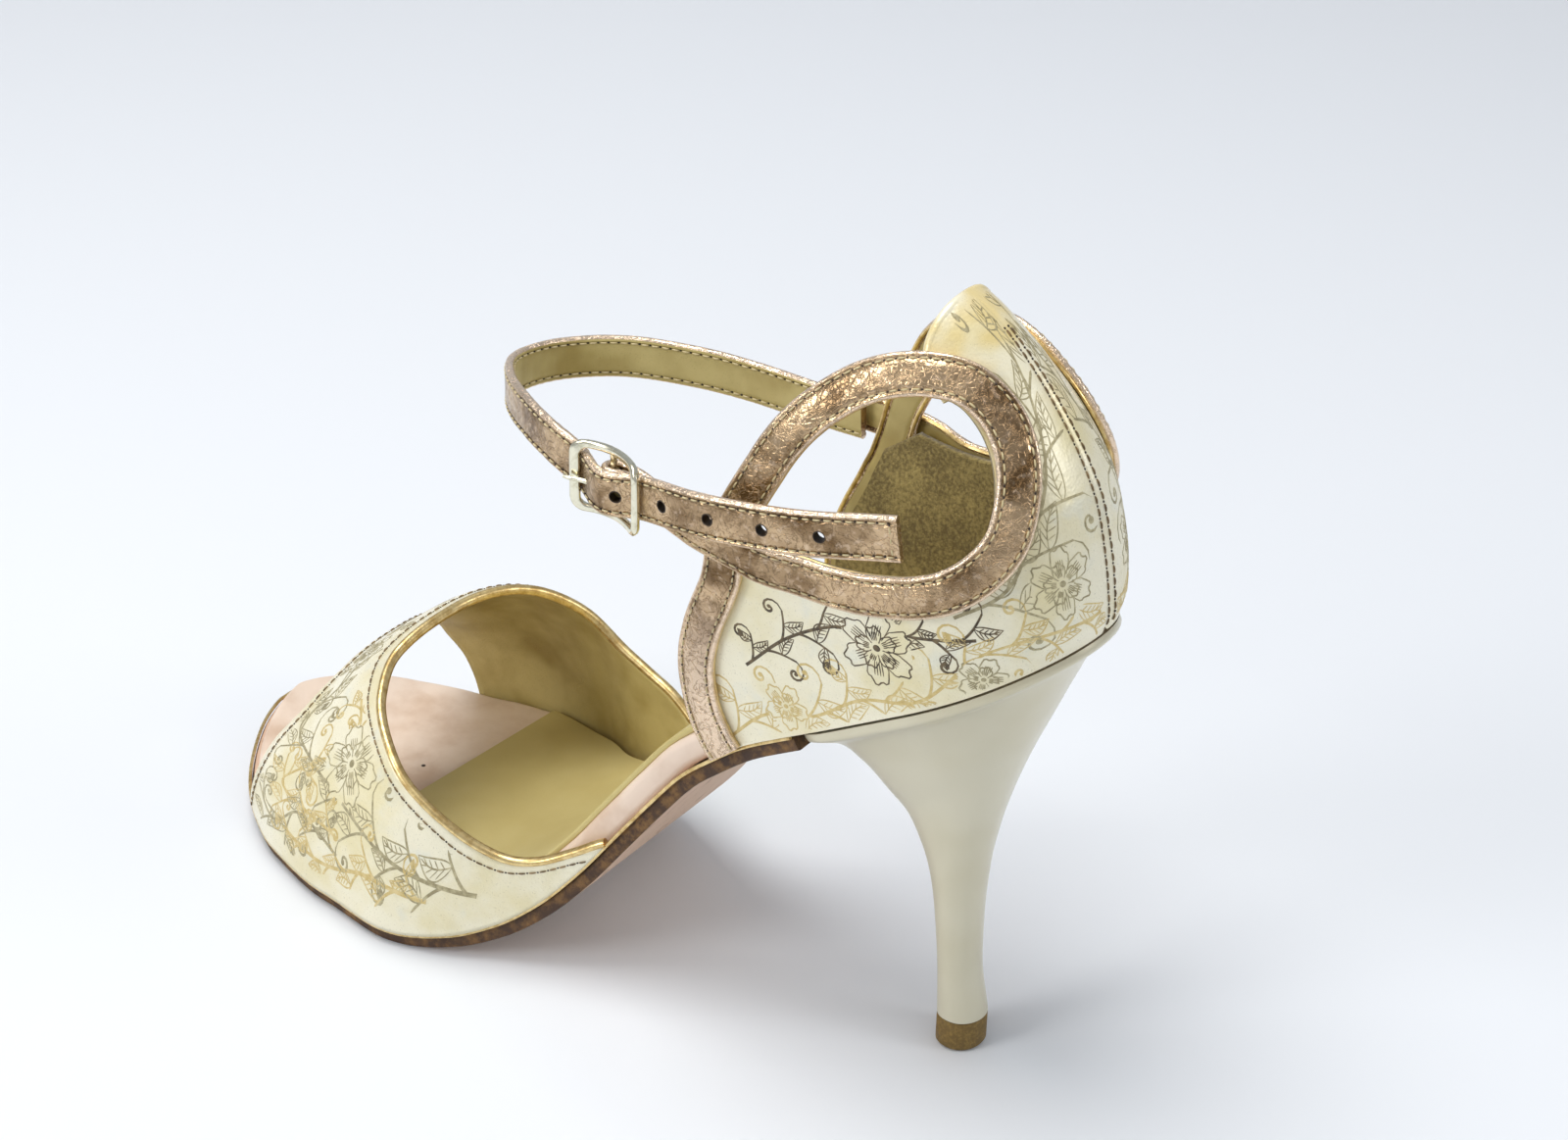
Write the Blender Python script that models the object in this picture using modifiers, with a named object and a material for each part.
# Tango shoe, left, size 38: an open-toed dance sandal with a closed counter, two side rings and a stiletto heel.
# Metres, +Z up, +Y towards the toe, +X towards the inner side of the foot.
# The origin is the centre of the face that the heel's top lift stands on.
import math

import bmesh
import bpy
import numpy as np

for old in list(bpy.data.objects):
    bpy.data.objects.remove(old, do_unlink=True)

# Lasting sizes
shoe_length = 0.2125  # back of the counter to the toe's tip, along the floor
heel_setback = 0.0245  # centre of the top lift to the back of the counter
ball_width = 0.083
seat_rise = 0.1004  # how far the back of the seat lies above the tread
heel_round = 0.028  # fore and aft radius of the rounded heel end
toe_round = 0.035
vamp_height = 0.0625
vamp_squareness = 2.4  # power of the arch across the vamp, 2 for an ellipse

# Layers
outsole_thickness = 0.003
outsole_inset = 0.001
insole_thickness = 0.006
insole_edge_round = 0.0014
sock_thickness = 0.0008
sock_margin = 0.0012
sock_front = 0.1358  # where the lining ends on the middle line, ahead of the lift
sock_slant = -4  # degrees
upper_wall = 0.002
lasting_gap = 0.0005  # upper to insole
ribbon_gap = 0.0005  # panel to the ribbon sewn on it
clearance = 0.0003  # between pieces that lie on each other

# Counter
counter_width = 0.050
peak_forward = 0.0325  # peak ahead of the back of the seat
flare_height = 0.015  # over which the counter leaves the sole's outline

# Ring and bands
ring_length_outer = 0.0533
ring_length_inner = 0.0503
ring_height_outer = 0.0403
ring_height_inner = 0.0362
crossing_ahead = 0.0401  # crossing, ahead of the lift's centre
crossing_height = 0.1144
peak_over_crossing = 0.0483
band_foot_ahead = 0.0023  # band's foot, ahead of the crossing
band_bow = 0.0085  # how far the band bows forwards of the crossing
ribbon_width = 0.0082
ribbon_thickness = 0.0015
panel_cover = 0.0028  # how far the panel reaches under the ribbon from its middle
tail_medial = 0.019  # how far the inner ribbon runs past the crossing
tail_fall = 0.0012
peak_edge = 0.0008  # height of the panel's short edge at the peak

# Ankle strap
strap_width = 0.0092
strap_thickness = 0.0018
strap_front = 0.109  # how far ahead of the lift's centre the strap passes
strap_half_width = 0.0295
strap_height_inner = 0.1125
strap_height_outer = 0.1215
strap_height_front = 0.1172
hole_radius = 0.001
first_pitch = 0.0066  # the prong's hole to the next one
hole_pitch = 0.0113
hole_count = 6
free_end = 0.0150  # last hole to the strap's end

# Buckle
buckle_length = 0.0162
buckle_height = 0.0134  # between the middles of its two rails
buckle_corner = 0.0022
buckle_wire = 0.0008  # radius
buckle_bar = 0.0007  # radius of the middle bar
prong_wire = 0.00065
buckle_ahead = 0.0643
buckle_out = 0.0330
buckle_level = 0.1184
buckle_sweep = 0.0014  # how much closer the front bar lies to the ankle, and the rear one further
buckle_drop = 0.0028  # how far the rails bow in to the middle bar

# Heel
lift_height = 0.0068
lift_depth = 0.0096
lift_width = 0.0108
heel_reach = 0.0275  # front of the heel's seat, ahead of the lift's centre

tread = outsole_thickness + clearance  # height of the insole's underside over the floor
seat_back = -heel_setback
toe_tip = seat_back + shoe_length
ribbon_step = 0.0028  # spacing of the sections along a ribbon


def rows(names, *values):
    """A table with named columns, one row for each place."""
    return np.array([tuple(row) for row in values], dtype=[(name, float) for name in names.split()])


# The seat and shank line, from the back of the heel to the toe, as shares of shoe_length and seat_rise
profile = rows(
    "along rise",
    (0.000, 1.000), (0.068, 0.913), (0.139, 0.827), (0.209, 0.740), (0.256, 0.682), (0.304, 0.618),
    (0.336, 0.564), (0.365, 0.510), (0.398, 0.422), (0.431, 0.325), (0.468, 0.215), (0.506, 0.123),
    (0.544, 0.060), (0.586, 0.020), (0.642, 0.000), (0.821, 0.000), (0.892, 0.006), (0.953, 0.024),
    (1.000, 0.050),
)

# The sole's outline before its two ends are rounded: half width and middle, as shares of ball_width
outline = rows(
    "along half middle",
    (0.000, 0.291, 0.000), (0.139, 0.296, 0.000), (0.233, 0.290, 0.000), (0.327, 0.266, -0.012),
    (0.398, 0.277, -0.024), (0.468, 0.325, -0.036), (0.539, 0.395, -0.045), (0.609, 0.458, -0.060),
    (0.666, 0.498, -0.048), (0.741, 0.501, -0.014), (0.831, 0.449, 0.002), (0.873, 0.417, 0.016),
    (0.939, 0.375, 0.050), (0.981, 0.328, 0.078), (1.000, 0.313, 0.108),
)

# The counter above the seat's back: its back line, half width and opening forwards
counter = rows(
    "up back half opening",
    (-1.00, 0.000, 0.490, -0.04), (-0.50, 0.000, 0.500, -0.03), (0.00, 0.000, 0.520, 0.00),
    (0.07, -0.030, 0.525, 0.02), (0.18, -0.010, 0.520, 0.05), (0.31, 0.035, 0.505, 0.06),
    (0.44, 0.100, 0.480, 0.07), (0.54, 0.190, 0.450, 0.08), (0.62, 0.280, 0.418, 0.09),
    (0.72, 0.415, 0.370, 0.10), (0.83, 0.590, 0.315, 0.11), (0.93, 0.790, 0.265, 0.11),
    (1.00, 1.000, 0.230, 0.11),
)

# A ring's middle line from the crossing up, over and back, as shares of its length and height
ring = rows(
    "back up",
    (0.000, 0.000), (0.105, 0.301), (0.245, 0.634), (0.484, 0.882), (0.713, 0.911), (0.876, 0.769),
    (0.977, 0.540), (0.991, 0.290), (0.884, 0.094), (0.649, -0.030), (0.402, -0.070),
    (0.191, -0.045), (0.000, 0.010),
)

# The front band's middle line between the sole and the crossing: bow as a share of band_bow,
# height as a share of the drop from the crossing to the sole
band = rows(
    "bow down",
    (0.61, 0.915), (0.92, 0.765), (1.00, 0.600), (0.74, 0.420), (0.32, 0.250), (0.00, 0.090),
)

# The panel's brow just before the peak, measured from it: forwards and up
brow_below_peak = np.array([(0.0004, -0.0085), (0.0010, -0.0040)])

# Where the strap lies on the inner ribbon's end: forwards and up from the crossing, as shares of tail_medial
strap_sewn = np.array([(0.38, 0.02), (0.80, 0.0)])

# The strap's middle line round the ankle: shares of strap_half_width and strap_front, which of the strap's
# three heights holds there, and the lift over it
strap_arc = rows(
    "across ahead inner front outer lift",
    (0.985, 0.690, 1, 0, 0, 0.0006), (0.870, 0.785, 1, 0, 0, 0.0018), (0.620, 0.905, 0, 1, 0, -0.0014),
    (0.240, 0.985, 0, 1, 0, -0.0004), (-0.150, 0.993, 0, 1, 0, 0.0010), (-0.500, 0.930, 0, 0, 1, -0.0012),
    (-0.780, 0.830, 0, 0, 1, -0.0001),
)

# The loose end behind the buckle: out from buckle_out, ahead of the crossing and above buckle_level
strap_end = rows(
    "out ahead up",
    (0.0016, 0.0030, 0.0026), (0.0012, -0.0090, 0.0040), (-0.0006, -0.0210, 0.0055),
    (-0.0034, -0.0340, 0.0078), (-0.0060, -0.0450, 0.0095),
)

# The vamp's height over the sole along its length, as a share of vamp_height
vamp_crown = rows(
    "along height",
    (0.398, 0.954), (0.468, 1.000), (0.539, 1.000), (0.609, 0.969), (0.689, 0.885), (0.751, 0.785),
    (0.821, 0.600), (0.892, 0.462), (0.939, 0.323), (1.000, 0.123),
)

# Where the vamp starts and ends going round the foot, from the outer foot over to the inner one
vamp_edges = rows(
    "turn rear front",
    (0.00, 0.440, 0.906), (0.05, 0.525, 0.894), (0.12, 0.591, 0.878), (0.20, 0.656, 0.859),
    (0.30, 0.714, 0.831), (0.40, 0.736, 0.820), (0.50, 0.732, 0.825), (0.60, 0.711, 0.835),
    (0.70, 0.680, 0.850), (0.80, 0.633, 0.860), (0.90, 0.548, 0.852), (1.00, 0.482, 0.840),
)

# The heel from its seat down: the section's back and front ends, and its half width.
# Depths are shares of heel_setback, heights of the seat's back, widths of counter_width
heel_form = rows(
    "back back_up front front_up half square",
    (-0.860, 0.944, 0.960, 0.682, 0.440, 5.0), (-0.715, 0.866, 0.810, 0.628, 0.355, 3.6),
    (-0.570, 0.779, 0.655, 0.558, 0.276, 2.9), (-0.425, 0.692, 0.520, 0.508, 0.216, 2.6),
    (-0.295, 0.600, 0.420, 0.455, 0.176, 2.5), (-0.190, 0.505, 0.340, 0.400, 0.148, 2.4),
    (-0.125, 0.408, 0.283, 0.338, 0.128, 2.4), (-0.100, 0.300, 0.245, 0.262, 0.114, 2.4),
    (-0.110, 0.185, 0.212, 0.172, 0.106, 2.4),
)


def smooth(table, x, y):
    """A monotone cubic through two columns of a table, held level past its ends."""
    xs, ys = table[x], table[y]
    step = np.diff(xs)
    slope = np.diff(ys) / step
    tangent = np.zeros(len(xs))
    tangent[0], tangent[-1] = slope[0], slope[-1]
    for i in range(1, len(xs) - 1):
        if slope[i - 1] * slope[i] > 0:
            before, after = 2 * step[i] + step[i - 1], step[i] + 2 * step[i - 1]
            tangent[i] = (before + after) / (before / slope[i - 1] + after / slope[i])

    def value(at):
        at = np.clip(np.asarray(at, float), xs[0], xs[-1])
        i = np.clip(np.searchsorted(xs, at) - 1, 0, len(xs) - 2)
        t = (at - xs[i]) / step[i]
        return (
            ys[i] * (1 + 2 * t) * (1 - t) ** 2 + step[i] * tangent[i] * t * (1 - t) ** 2
            + ys[i + 1] * t * t * (3 - 2 * t) + step[i] * tangent[i + 1] * t * t * (t - 1)
        )

    return value


rise_share = smooth(profile, "along", "rise")
half_share = smooth(outline, "along", "half")
middle_share = smooth(outline, "along", "middle")
counter_back_share = smooth(counter, "up", "back")
counter_half_share = smooth(counter, "up", "half")
counter_opening = smooth(counter, "up", "opening")
crown_share = smooth(vamp_crown, "along", "height")
vamp_rear = smooth(vamp_edges, "turn", "rear")
vamp_front = smooth(vamp_edges, "turn", "front")


def along(y):
    return (np.asarray(y, float) - seat_back) / shoe_length


def feather(y):
    """Height of the insole's underside, which the upper and the heel also follow."""
    return tread + seat_rise * rise_share(along(y))


def middle(y):
    return ball_width * middle_share(along(y))


def rounding(y, inset=0.0):
    """The elliptic narrowing of both ends, 1 between them."""
    heel = np.clip((y - seat_back - inset) / (heel_round - inset), 0, 1)
    toe = np.clip((toe_tip - inset - y) / (toe_round - inset), 0, 1)
    return np.sqrt(1 - (1 - heel) ** 2) * np.sqrt(1 - (1 - toe) ** 2)


def half_width(y, inset=0.0):
    return (ball_width * half_share(along(y)) - inset) * rounding(y, inset)


def smoothstep(t):
    t = np.clip(t, 0, 1)
    return t * t * (3 - 2 * t)


# Height of the seat's back edge, from which the counter is measured, and of the peak above it
seat_top = float(feather(seat_back))
counter_rise = crossing_height + peak_over_crossing - seat_top


def counter_back(z):
    return seat_back + peak_forward * counter_back_share((z - seat_top) / counter_rise)


def girth(y, z):
    """Distance round the counter from its back seam to the point at this y and z."""
    past = np.asarray(y, float) - counter_back(z)
    turned = heel_round * np.arccos(1 - np.clip(past / heel_round, 0, 1))
    return turned + np.maximum(past - heel_round, 0)


def counter_surface(p, z, side):
    """The counter's outside: p is the distance round from the back seam, side -1 outer and +1 inner."""
    p, z = np.broadcast_arrays(np.asarray(p, float), np.asarray(z, float))
    quarter_turn = heel_round * math.pi / 2
    angle = np.minimum(p, quarter_turn) / heel_round
    ahead = np.maximum(p - quarter_turn, 0)
    y = counter_back(z) + heel_round * (1 - np.cos(angle)) + ahead
    up = (z - seat_top) / counter_rise
    low = ball_width * half_share(along(y)) + side * middle(y)
    high = counter_width * counter_half_share(up) + counter_opening(up) * ahead
    mix = smoothstep((z - feather(y)) / flare_height)
    return np.stack([side * (low * (1 - mix) + high * mix) * np.sin(angle), y, z], axis=-1)


def unit(v):
    return v / np.linalg.norm(v, axis=-1, keepdims=True)


def counter_normal(p, z, side):
    """Points away from the foot."""
    step = 1e-5
    around = counter_surface(p + step, z, side) - counter_surface(np.maximum(p - step, 0), z, side)
    upward = counter_surface(p, z + step, side) - counter_surface(p, z - step, side)
    return unit(side * np.cross(around, upward))


def path(points, spacing):
    """Evenly spaced points on a centripetal Catmull-Rom curve through the given ones."""
    points = np.asarray(points, float)
    ends = np.vstack([2 * points[0] - points[1], points, 2 * points[-1] - points[-2]])
    knots = np.concatenate([[0], np.cumsum(np.linalg.norm(np.diff(ends, axis=0), axis=1) ** 0.5)])
    fine = []
    for i in range(1, len(ends) - 2):
        t = np.linspace(knots[i], knots[i + 1], 24, endpoint=False)[:, None]
        k, e = knots[i - 1 : i + 3], ends[i - 1 : i + 3]
        a = [(e[j] * (k[j + 1] - t) + e[j + 1] * (t - k[j])) / (k[j + 1] - k[j]) for j in range(3)]
        b = [(a[j] * (k[j + 2] - t) + a[j + 1] * (t - k[j])) / (k[j + 2] - k[j]) for j in range(2)]
        fine.append((b[0] * (k[2] - t) + b[1] * (t - k[1])) / (k[2] - k[1]))
    fine = np.vstack(fine + [points[-1:]])
    length = np.concatenate([[0], np.cumsum(np.linalg.norm(np.diff(fine, axis=0), axis=1))])
    count = max(int(round(length[-1] / spacing)), 2)
    at = np.linspace(0, length[-1], count + 1)
    return np.stack([np.interp(at, length, fine[:, i]) for i in range(points.shape[1])], axis=-1)


def material(name, colour, roughness, metallic):
    made = bpy.data.materials.new(name)
    made.use_nodes = True
    shader = made.node_tree.nodes["Principled BSDF"]
    shader.inputs["Base Color"].default_value = (*colour, 1)
    shader.inputs["Roughness"].default_value = roughness
    shader.inputs["Metallic"].default_value = metallic
    made.diffuse_color = (*colour, 1)
    return made


patterned = material("patterned_leather", (0.80, 0.76, 0.60), 0.42, 0.15)
metallic_leather = material("metallic_leather", (0.62, 0.45, 0.31), 0.30, 0.85)
nude_leather = material("nude_leather", (0.76, 0.60, 0.48), 0.40, 0.20)
sock_leather = material("sock_leather", (0.52, 0.46, 0.20), 0.45, 0.10)
sole_leather = material("sole_leather", (0.36, 0.22, 0.12), 0.60, 0.0)
heel_lacquer = material("heel_lacquer", (0.60, 0.58, 0.44), 0.35, 0.30)
lift_rubber = material("lift_rubber", (0.28, 0.18, 0.06), 0.60, 0.0)
nickel = material("nickel", (0.70, 0.68, 0.60), 0.20, 1.0)

shoe = bpy.data.collections.new("tango_shoe")
cutters = bpy.data.collections.new("cutters")
bpy.context.scene.collection.children.link(shoe)
bpy.context.scene.collection.children.link(cutters)


def mesh_object(name, verts, faces, surface, collection=shoe):
    mesh = bpy.data.meshes.new(name)
    mesh.from_pydata([tuple(v) for v in np.asarray(verts, float)], [], [tuple(f) for f in faces])
    mesh.materials.append(surface)
    build = bmesh.new()
    build.from_mesh(mesh)
    bmesh.ops.remove_doubles(build, verts=build.verts, dist=1e-6)
    bmesh.ops.recalc_face_normals(build, faces=build.faces)
    build.to_mesh(mesh)
    build.free()
    mesh.shade_smooth()
    mesh.set_sharp_from_angle(angle=math.radians(35))
    made = bpy.data.objects.new(name, mesh)
    collection.objects.link(made)
    return made


def grid_faces(rows_count, columns, first=0, around=False):
    """Quads of a grid of points, closed round its columns if asked."""
    faces = []
    for i in range(rows_count - 1):
        for j in range(columns if around else columns - 1):
            k = (j + 1) % columns
            faces.append((
                first + i * columns + j, first + i * columns + k,
                first + (i + 1) * columns + k, first + (i + 1) * columns + j,
            ))
    return faces


def loft(name, rings, surface):
    """A closed solid through rings of equal size, with both ends capped by strips across them."""
    rings = np.asarray(rings, float)
    count, around = rings.shape[:2]
    faces = grid_faces(count, around, around=True)
    for start in (0, (count - 1) * around):
        for i in range(around // 2 - 1):
            strip = (start + i, start + i + 1, start + around - 2 - i, start + around - 1 - i)
            faces.append(strip)
    return mesh_object(name, rings.reshape(-1, 3), faces, surface)


def shell(name, points, surface, thickness):
    """An open grid of points given a wall on its inner side."""
    made = mesh_object(name, *points, surface)
    wall = made.modifiers.new("wall", "SOLIDIFY")
    wall.thickness = thickness
    wall.offset = -1
    wall.use_even_offset = True
    wall.use_quality_normals = True
    return made


def cut(target, tool, operation="DIFFERENCE"):
    tool.hide_render = True
    tool.display_type = "WIRE"
    for owner in list(tool.users_collection):
        owner.objects.unlink(tool)
    cutters.objects.link(tool)
    change = target.modifiers.new(tool.name, "BOOLEAN")
    change.operation = operation
    change.solver = "EXACT"
    change.object = tool


def stations(start, end, inset=0.0, spacing=0.0058):
    """Places along the shoe, close together where the ends are round."""
    first_turn = 0.10
    quarter = np.linspace(first_turn, math.pi / 2, 8)
    heel = seat_back + inset + (heel_round - inset) * (1 - np.cos(quarter))
    toe = toe_tip - inset - (toe_round - inset) * (1 - np.cos(np.linspace(math.pi / 2, first_turn, 9)))
    between = np.linspace(heel[-1], toe[0], int((toe[0] - heel[-1]) / spacing))
    every = np.concatenate([heel, between[1:-1], toe])
    kept = every[(every > start + spacing / 4) & (every < end - spacing / 4)]
    if start > heel[0]:
        kept = np.concatenate([[start], kept])
    if end < toe[-1]:
        kept = np.concatenate([kept, [end]])
    return kept


def profile_normal(y):
    """Across the sole's line, in the plane of y and z, pointing up."""
    step = 1e-5
    slope = (feather(y + step) - feather(y - step)) / (2 * step)
    return np.stack([-slope, np.ones_like(slope)], axis=-1) / np.sqrt(1 + slope**2)[..., None]


def sole_layer(name, inset, low, high, edge, surface, start=seat_back, end=toe_tip):
    """A layer that follows the sole's line, from low to high above it, with its edges rounded by edge."""
    y = stations(start, end, inset)
    normal = profile_normal(y)
    half, centre = half_width(y, inset), middle(y)
    low, high = low + 0 * y, high + 0 * y
    edge = np.minimum(edge, 0.45 * half)
    height = high - low
    corner = np.minimum(edge, 0.3 * height)
    corners = (
        (-half + edge, low), (-half, low + corner), (-half, high - corner), (-half + edge, high),
        (half - edge, high), (half, high - corner), (half, low + corner), (half - edge, low),
    )
    rings = np.stack(
        [
            np.stack([centre + x, y + normal[:, 0] * up, feather(y) + normal[:, 1] * up], axis=-1)
            for x, up in corners
        ],
        axis=1,
    )
    return loft(name, rings, surface)


def section(width, thickness):
    """Points round a strip's section, as shares across it and through it."""
    bevel = 0.3 * thickness
    w, t = width / 2, thickness / 2
    return (
        (-w + bevel, t), (-w, t - bevel), (-w, -t + bevel), (-w + bevel, -t),
        (w - bevel, -t), (w, -t + bevel), (w, t - bevel), (w - bevel, t),
    )


def sweep(name, centres, normals, width, thickness, surface):
    """A flat strip carried along a path, with its face across the normals."""
    tangent = unit(np.gradient(centres, axis=0))
    across = unit(np.cross(normals, tangent))
    normals = unit(np.cross(tangent, across))
    rings = np.stack(
        [centres + across * a + normals * b for a, b in section(width, thickness)], axis=1
    )
    return loft(name, rings, surface)


def side_normals(centres, outward):
    """Level normals of a path that stands on edge, on the side that outward gives at its start."""
    tangent = unit(np.gradient(centres, axis=0))
    level = unit(np.cross(tangent, np.array([0.0, 0.0, 1.0])))
    return level * np.sign(np.dot(level[0], outward))


# Sole
def make_outsole():
    front_of_heel = heel_reach + clearance
    return sole_layer(
        "outsole", outsole_inset, -clearance - outsole_thickness, -clearance, 0.0004,
        sole_leather, start=front_of_heel,
    )


def insole_top(y):
    """Thickness of the wrapped board: thinner under the toes and at the seat's back."""
    share = 0.66 + 0.34 * smoothstep((0.80 - along(y)) / 0.25) - 0.12 * smoothstep((0.2 - along(y)) / 0.2)
    return insole_thickness * share


def make_insole():
    inset = upper_wall + lasting_gap
    y = stations(seat_back, toe_tip, inset)
    return sole_layer("insole", inset, 0.0, insole_top(y), insole_edge_round, nude_leather)


def make_sock():
    inset = upper_wall + lasting_gap + sock_margin
    end = seat_back + 0.80 * shoe_length
    y = stations(seat_back, end, inset)
    low = insole_top(y) + clearance
    made = sole_layer("sock", inset, low, low + sock_thickness, 0.0002, sock_leather, end=end)
    # The lining is cut straight, further forward on the inner side
    bpy.ops.mesh.primitive_cube_add(size=1)
    cutter = bpy.context.object
    cutter.name = "sock_front"
    reach = 0.09
    slant = math.radians(sock_slant)
    cutter.scale = (2 * ball_width, reach, 0.2)
    cutter.rotation_euler = (0, 0, slant)
    cutter.location = (0, sock_front + reach / 2 / math.cos(slant), 0.05)
    cut(made, cutter)
    return made


# Heel
def heel_ring(back, front, half, square, rest, count=28):
    """A section between two points of the middle plane: round behind, squarer in front."""
    back, front = np.asarray(back, float), np.asarray(front, float)
    turn = (np.arange(count) + 0.5) * 2 * math.pi / count
    across, ahead = np.sin(turn), -np.cos(turn)
    power = np.where(ahead < 0, 2.0, square)
    reach = (np.abs(across) ** power + np.abs(ahead) ** power) ** (-1 / power)
    across, ahead = across * reach, ahead * reach
    share = np.where(ahead < 0, rest * (1 + ahead), rest + (1 - rest) * ahead)
    yz = back + (front - back) * share[:, None]
    return np.stack([half * across, yz[:, 0], yz[:, 1]], axis=-1)


def make_heel():
    widest = heel_round / (heel_reach - seat_back)
    seat = heel_ring((seat_back, 0), (heel_reach, 0), 1.0, 9.0, widest)
    y = seat[:, 1]
    side = np.abs(half_width(y)) * np.sign(seat[:, 0])
    inner_end = np.abs(seat[:, 0]) * ball_width * half_share(along(y))
    x = np.where(y > heel_reach - 0.004, np.sign(side) * np.minimum(np.abs(side), inner_end), side)
    seat = np.stack([x, y, feather(y) - clearance], axis=-1)
    lip = seat + np.array([0, -0.0006, -0.0012])
    rings = [seat, lip]
    for row in heel_form:
        rings.append(heel_ring(
            (row["back"] * heel_setback, row["back_up"] * seat_top),
            (row["front"] * heel_setback, row["front_up"] * seat_top),
            row["half"] * counter_width, row["square"], 0.52,
        ))
    foot = lift_height + clearance
    rings.append(heel_ring(
        (-lift_depth / 2, foot), (lift_depth / 2, foot), lift_width / 2, 2.4, 0.5,
    ))
    return loft("heel", rings, heel_lacquer)


def make_top_lift():
    rings = [
        heel_ring((-lift_depth / 2 + trim, z), (lift_depth / 2 - trim, z), lift_width / 2 - trim, 2.4, 0.5)
        for z, trim in ((0, 0.0003), (0.0004, 0), (lift_height, 0))
    ]
    return loft("top_lift", rings, lift_rubber)


# Upper
def vamp_point(y, turn):
    """The vamp's outside at y, turn 0 at its outer foot and 1 at its inner foot."""
    angle = turn * math.pi
    power = 2 / vamp_squareness
    across = -np.sign(np.cos(angle)) * np.abs(np.cos(angle)) ** power
    up = np.abs(np.sin(angle)) ** power
    x = middle(y) + half_width(y) * across
    return np.stack([x, y, feather(y) + vamp_height * crown_share(along(y)) * up], axis=-1)


def make_vamp(around=34, across=12):
    eased = np.linspace(0, 1, around)
    # Closer together near both feet, where the band turns over the sole's edge
    turn = 0.5 - 0.5 * np.cos(math.pi * eased)
    turn = 0.35 * eased + 0.65 * turn
    share = np.linspace(0, 1, across)[:, None]
    rear, front = (seat_back + shoe_length * edge(turn) for edge in (vamp_rear, vamp_front))
    y = rear * (1 - share) + front * share
    points = vamp_point(y, turn + 0 * y)
    return shell(
        "vamp", (points.reshape(-1, 3), grid_faces(across, around)), patterned, upper_wall
    )


def ring_line(length, height):
    back, up = crossing_ahead - length * ring["back"], crossing_height + height * ring["up"]
    return path(np.stack([back, up], axis=-1), 0.001)


# Side -1 is the outer ring and +1 the inner one
ring_paths = {
    -1: ring_line(ring_length_outer, ring_height_outer),
    1: ring_line(ring_length_inner, ring_height_inner),
}
band_foot = crossing_ahead + band_foot_ahead
band_drop = crossing_height - float(feather(band_foot))
band_path = path(
    np.vstack([
        [[band_foot, crossing_height - band_drop]],
        np.stack([crossing_ahead + band_bow * band["bow"], crossing_height - band_drop * band["down"]], axis=-1),
    ]),
    0.001,
)


def part_of(points, start, end, count):
    """Evenly spaced points of a path between two shares of it."""
    at = np.linspace(start, end, count) * (len(points) - 1)
    index = np.arange(len(points))
    return np.stack([np.interp(at, index, points[:, i]) for i in range(2)], axis=-1)


def panel_edges(side):
    """Pairs of points in side view that bound the counter panel, from the crossing round to the peak."""
    ring_path = ring_paths[side]
    pull = ring_path.mean(axis=0) - ring_path
    hem = ring_path + pull / np.linalg.norm(pull, axis=1)[:, None] * panel_cover
    peak_height = seat_top + counter_rise
    peak = np.array([float(counter_back(peak_height)), peak_height])
    # Places along the ring: below its loop, behind it, where the brow leaves it, and under the crossing
    bottom_share, rear_share, top_share, under = 0.79, 0.60, 0.395, 0.965
    front_count, side_count, back_count = 9, 14, 15

    upper = [part_of(hem, under, bottom_share, front_count)]
    lower = [part_of(band_path, 1.0, 0.0, front_count)]
    upper.append(part_of(hem, bottom_share, rear_share, side_count)[1:])
    foot = band_path[0]
    foot_turn = girth(foot[0], foot[1])
    turn = np.linspace(foot_turn, 0, side_count)[1:]
    straight = heel_round * math.pi / 2
    y = seat_back + np.where(
        turn > straight, heel_round + turn - straight, heel_round * (1 - np.cos(turn / heel_round))
    )
    lower.append(np.stack([y, feather(y) + 0 * y], axis=-1))
    brow = np.vstack([hem[int(top_share * (len(hem) - 1))], peak + brow_below_peak, peak])
    crest = path(np.vstack([
        part_of(hem, rear_share, top_share + 0.02, 8), path(brow, 0.001),
    ]), 0.001)
    upper.append(part_of(crest, 0, 1, back_count)[1:])
    rise = np.linspace(seat_top, peak_height - peak_edge, back_count)[1:]
    lower.append(np.stack([counter_back(rise), rise], axis=-1))
    lower = np.vstack(lower)
    lower[:, 1] = np.maximum(lower[:, 1], feather(lower[:, 0]) + clearance)
    return np.vstack(upper), lower


def make_quarter(down=7):
    points, faces = [], []
    share = np.linspace(0, 1, down)[:, None]
    for side in (-1, 1):
        upper, lower = panel_edges(side)
        turn = girth(*upper.T) * (1 - share) + girth(*lower.T) * share
        z = upper[:, 1] * (1 - share) + lower[:, 1] * share
        first = len(points) * turn.size
        points.append(counter_surface(turn, z, side).reshape(-1, 3))
        faces += grid_faces(down, len(upper), first)
    return shell("quarter", (np.vstack(points), faces), patterned, upper_wall)


def on_counter(points, side, lift):
    """Points of the side view put on the counter, lifted off it."""
    turn = girth(points[:, 0], points[:, 1])
    normal = counter_normal(turn, points[:, 1], side)
    return counter_surface(turn, points[:, 1], side) + normal * np.asarray(lift)[..., None], normal


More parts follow.
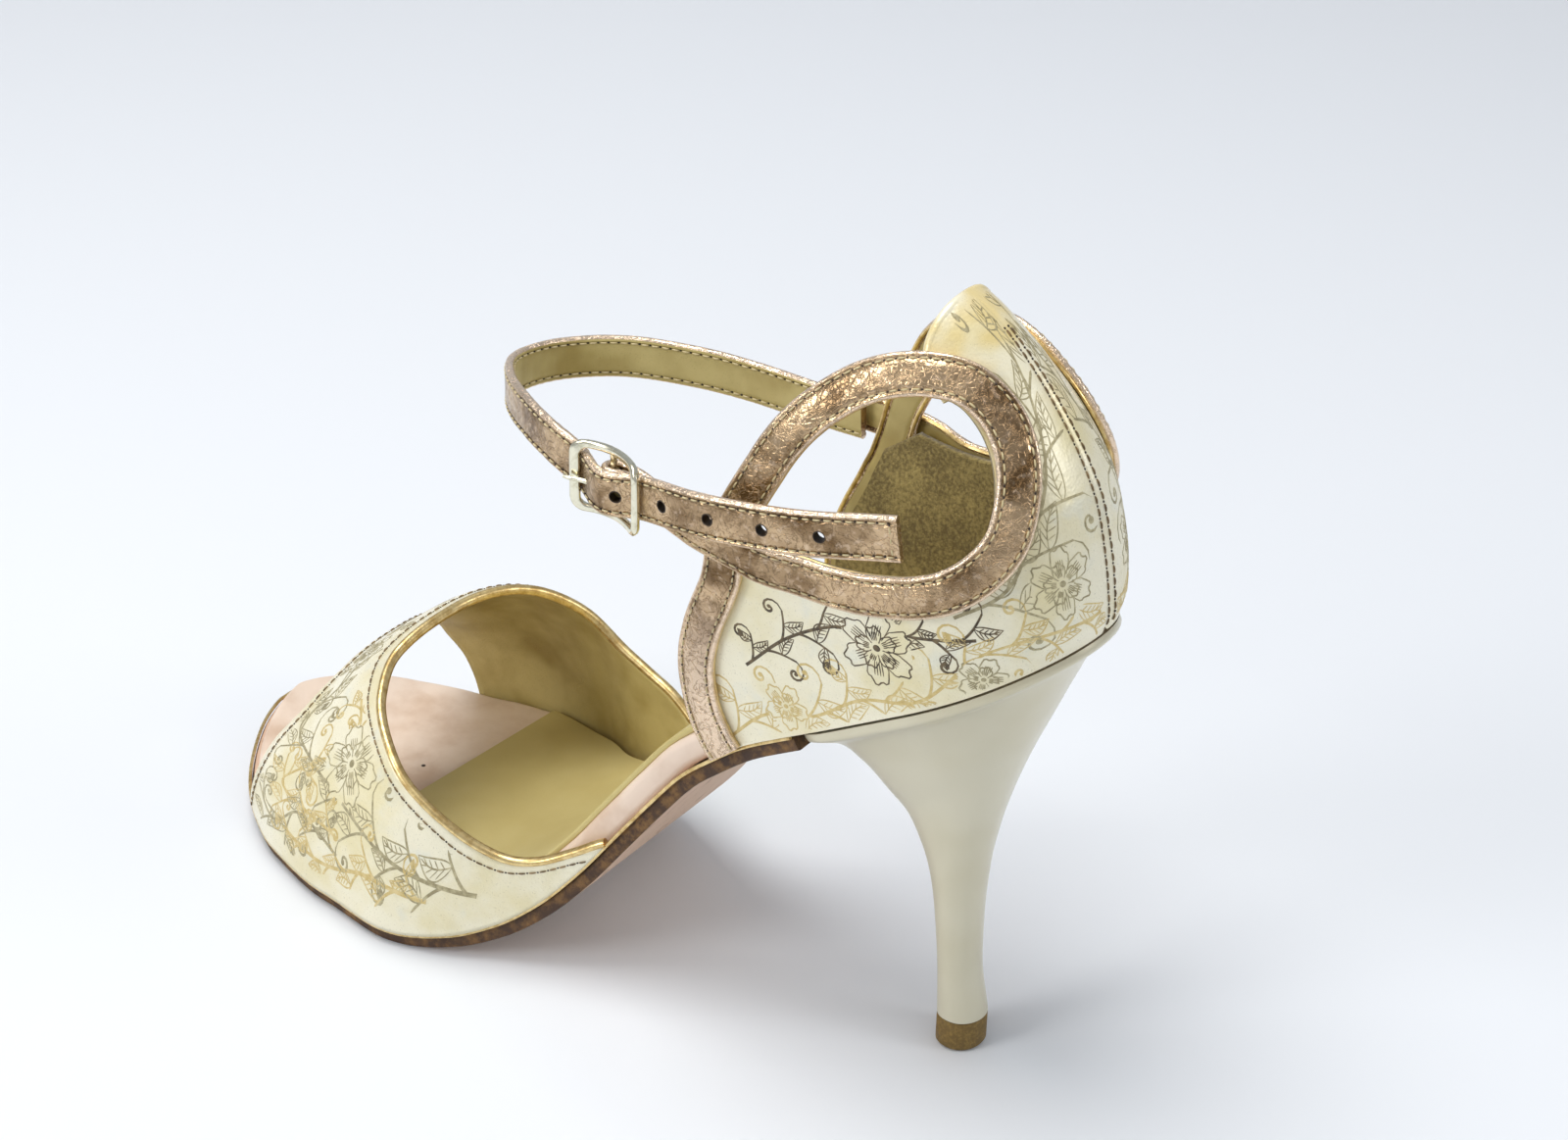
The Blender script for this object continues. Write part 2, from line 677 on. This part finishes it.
def ribbon_route(side, tail):
    """The ribbon's middle line in side view: up the front band, round the ring, over itself and on."""
    foot = band_path[0]
    start = np.array([[foot[0], float(feather(foot[0])) + clearance]])
    ends = np.array([crossing_ahead, crossing_height]) + tail
    joined = np.vstack([start, band_path[3:-3:6], ring_paths[side][5:-2:6], ends])
    flat = path(joined, ribbon_step)
    length = np.linspace(0, 1, len(flat))
    # Where the ribbon comes back to the crossing it rises over its own first run
    near_end = np.linalg.norm(flat - (crossing_ahead, crossing_height), axis=1)
    over = smoothstep((ribbon_width * 2.2 - near_end) / (ribbon_width * 1.2)) * (length > 0.6)
    over = np.where((length > 0.6) & (flat[:, 0] > crossing_ahead), 1, over)
    rest = ribbon_gap + ribbon_thickness / 2
    return on_counter(flat, side, rest + over * (ribbon_thickness + clearance))


def tack(ribbon, side):
    """Joins the two runs of a ribbon where they cross."""
    at = np.array([[crossing_ahead, crossing_height]])
    middle_point, normal = on_counter(at, side, np.array([ribbon_gap + ribbon_thickness + clearance / 2]))
    size = ribbon_width * 0.45
    depth = ribbon_thickness + clearance
    bpy.ops.mesh.primitive_cube_add(size=1)
    block = bpy.context.object
    block.name = ribbon.name + "_tack"
    block.scale = (depth, size, size)
    block.rotation_euler = (0, 0, math.atan2(normal[0, 1], normal[0, 0]))
    block.location = middle_point[0]
    cut(ribbon, block, "UNION")


bar_point = np.array([-(buckle_out - buckle_drop), buckle_ahead, buckle_level])


def make_ribbon_lateral():
    centres, normals = ribbon_route(-1, np.array([[0.0050, 0.0012]]))
    # Past the crossing the ribbon runs to the buckle and folds round its middle bar
    hold = buckle_bar + clearance + ribbon_thickness / 2
    leg = ribbon_thickness + clearance
    run = bar_point + (hold + 0.0002, -0.0035, -0.0003)
    turn = np.linspace(-0.35, math.pi + 0.25, 9)
    fold = bar_point + hold * np.stack([np.cos(turn), np.sin(turn), 0 * turn], axis=-1)
    back = bar_point + (hold - leg, -0.0052, -0.0003)
    fine_step = 0.0011
    loose = path(np.vstack([centres[-2:], run, fold, back]), fine_step)
    loose = loose[loose[:, 1] > centres[-1, 1] + 0.7 * fine_step]
    level = side_normals(loose, normals[-1])
    made = sweep(
        "ribbon_lateral", np.vstack([centres[:-1], loose]), np.vstack([normals[:-1], level]),
        ribbon_width, ribbon_thickness, metallic_leather,
    )
    tack(made, -1)
    # The prong's slot in the fold
    bpy.ops.mesh.primitive_cube_add(size=1)
    slot = bpy.context.object
    slot.name = "prong_slot"
    slot.scale = (0.0072, 0.0076, 2 * (prong_wire + 2 * clearance))
    slot.location = bar_point + (0, 0.0004, 0)
    cut(made, slot)
    return made


def make_ribbon_medial():
    tail = np.array([[0.45 * tail_medial, -tail_fall / 2], [tail_medial, -tail_fall]])
    centres, normals = ribbon_route(1, tail)
    made = sweep("ribbon_medial", centres, normals, ribbon_width, ribbon_thickness, metallic_leather)
    tack(made, 1)
    return made


def strap_route():
    """The strap's middle line from the inner crossing round the ankle to its free end.

    It lies under the buckle's end bars and over its middle one.
    """
    under_bar = buckle_wire + clearance + strap_thickness / 2
    over_bar = buckle_bar + 2 * clearance + ribbon_thickness + strap_thickness / 2
    bar_out = buckle_out - buckle_drop
    reach = buckle_length / 2
    layer = np.array([ribbon_thickness - clearance - strap_thickness / 2])
    sewn = np.array([crossing_ahead, crossing_height]) + tail_medial * strap_sewn + (0, -tail_fall)
    start, following = on_counter(sewn, 1, layer)[0]
    arc, end = strap_arc, strap_end
    height = (
        arc["inner"] * strap_height_inner + arc["front"] * strap_height_front
        + arc["outer"] * strap_height_outer + arc["lift"]
    )
    round_ankle = np.stack([arc["across"] * strap_half_width, arc["ahead"] * strap_front, height], axis=-1)
    through_buckle = np.array([
        (-0.93 * strap_half_width, 0.745 * strap_front, buckle_level + 0.0025),
        (-(buckle_out - buckle_sweep - under_bar), buckle_ahead + reach, buckle_level + 0.0007),
        (-(bar_out + over_bar), buckle_ahead, buckle_level),
        (-(buckle_out + buckle_sweep - under_bar), buckle_ahead - reach, buckle_level + 0.0006),
    ])
    loose = np.stack([-buckle_out - end["out"], crossing_ahead + end["ahead"], buckle_level + end["up"]], axis=-1)
    return np.vstack([start, following, round_ankle, through_buckle, loose])


def make_ankle_strap():
    fine = path(strap_route(), 0.0003)
    length = np.linspace(0, 0.0003 * (len(fine) - 1), len(fine))
    # The prong passes the strap a little ahead of the middle bar
    outer = fine[:, 0] < 0
    first = np.argmin(np.where(outer, np.abs(fine[:, 1] - buckle_ahead - 0.0030), 1))
    holes = length[first] + np.append(0, first_pitch + hole_pitch * np.arange(hole_count - 1))
    last = holes[-1] + free_end
    count = int(round(last / ribbon_step))
    at = np.linspace(0, min(last, length[-1]), count + 1)
    centres = np.stack([np.interp(at, length, fine[:, i]) for i in range(3)], axis=-1)
    normals = side_normals(centres, np.array([1.0, 0, 0]))
    made = sweep(
        "ankle_strap", centres, normals, strap_width, strap_thickness, metallic_leather
    )
    for number, place in enumerate(holes):
        point = np.array([np.interp(place, length, fine[:, i]) for i in range(3)])
        ahead = np.array([np.interp(place + 0.001, length, fine[:, i]) for i in range(3)])
        heading = math.atan2(*(ahead - point)[1::-1])
        bpy.ops.mesh.primitive_cylinder_add(vertices=12, radius=hole_radius, depth=0.008)
        punch = bpy.context.object
        punch.name = f"strap_hole_{number + 1}"
        punch.rotation_euler = (math.pi / 2, 0, heading)
        if number == 0:
            punch.scale = (2.5, 1, 1)
        punch.location = point
        cut(made, punch)
    return made


# Buckle
def wire(name, points, radius, surface, closed=False):
    """A round wire as a mesh, with its caps welded."""
    curve = bpy.data.curves.new(name, "CURVE")
    curve.dimensions = "3D"
    spline = curve.splines.new("POLY")
    spline.points.add(len(points) - 1)
    for knot, point in zip(spline.points, points):
        knot.co = (*point, 1)
    spline.use_cyclic_u = closed
    curve.bevel_depth = radius
    curve.bevel_resolution = 2
    curve.use_fill_caps = not closed
    guide = bpy.data.objects.new(name + "_guide", curve)
    cutters.objects.link(guide)
    bpy.context.view_layer.update()
    graph = bpy.context.evaluated_depsgraph_get()
    mesh = bpy.data.meshes.new_from_object(guide.evaluated_get(graph))
    bpy.data.objects.remove(guide, do_unlink=True)
    build = bmesh.new()
    build.from_mesh(mesh)
    bmesh.ops.remove_doubles(build, verts=build.verts, dist=1e-6)
    bmesh.ops.recalc_face_normals(build, faces=build.faces)
    build.to_mesh(mesh)
    build.free()
    mesh.materials.clear()
    mesh.materials.append(surface)
    mesh.shade_smooth()
    made = bpy.data.objects.new(name, mesh)
    shoe.objects.link(made)
    return made


def buckle_point(ahead, up):
    """A point of the bowed frame, ahead of and above its middle."""
    share = ahead / (buckle_length / 2)
    out = buckle_out - buckle_sweep * share - buckle_drop * (1 - share**2)
    return np.array([-out, buckle_ahead + ahead, buckle_level + up])


def make_buckle_frame():
    half_long, half_high = buckle_length / 2, buckle_height / 2
    outline_points = []
    for along_sign, up_sign, start in ((1, 1, 0), (-1, 1, 90), (-1, -1, 180), (1, -1, 270)):
        for turn in np.radians(np.linspace(start, start + 90, 5)):
            outline_points.append(buckle_point(
                along_sign * (half_long - buckle_corner) + buckle_corner * math.cos(turn),
                up_sign * (half_high - buckle_corner) + buckle_corner * math.sin(turn),
            ))
        if along_sign == up_sign:
            for share in (0.6, 0.2, -0.2, -0.6):
                outline_points.append(buckle_point(
                    along_sign * share * half_long, up_sign * half_high
                ))
    frame = wire("buckle_frame", outline_points, buckle_wire, nickel, closed=True)
    bar = wire(
        "middle_bar", [buckle_point(0, -half_high), buckle_point(0, half_high)], buckle_bar, nickel
    )
    cut(frame, bar, "UNION")
    return frame


def make_buckle_prong():
    """A wire hooked round the middle bar, through the strap's hole and onto the front bar."""
    hold = buckle_bar + clearance + prong_wire
    turn = np.linspace(0.30 * math.pi, -1.0 * math.pi, 12)
    hook = bar_point + hold * np.stack([np.cos(turn), np.sin(turn), 0 * turn], axis=-1)
    front_bar = buckle_point(buckle_length / 2, 0)
    over = buckle_wire + clearance + prong_wire
    tip = front_bar + (-over, 0.0012, 0)
    shank = [hook[-1] + (tip - hook[-1]) * share for share in (0.3, 0.65)]
    points = np.vstack([hook, shank, [front_bar + (-over, 0, 0)], [tip]])
    return wire("buckle_prong", points, prong_wire, nickel)


make_outsole()
make_insole()
make_sock()
make_heel()
make_top_lift()
make_vamp()
make_quarter()
make_ribbon_lateral()
make_ribbon_medial()
make_ankle_strap()
make_buckle_frame()
make_buckle_prong()
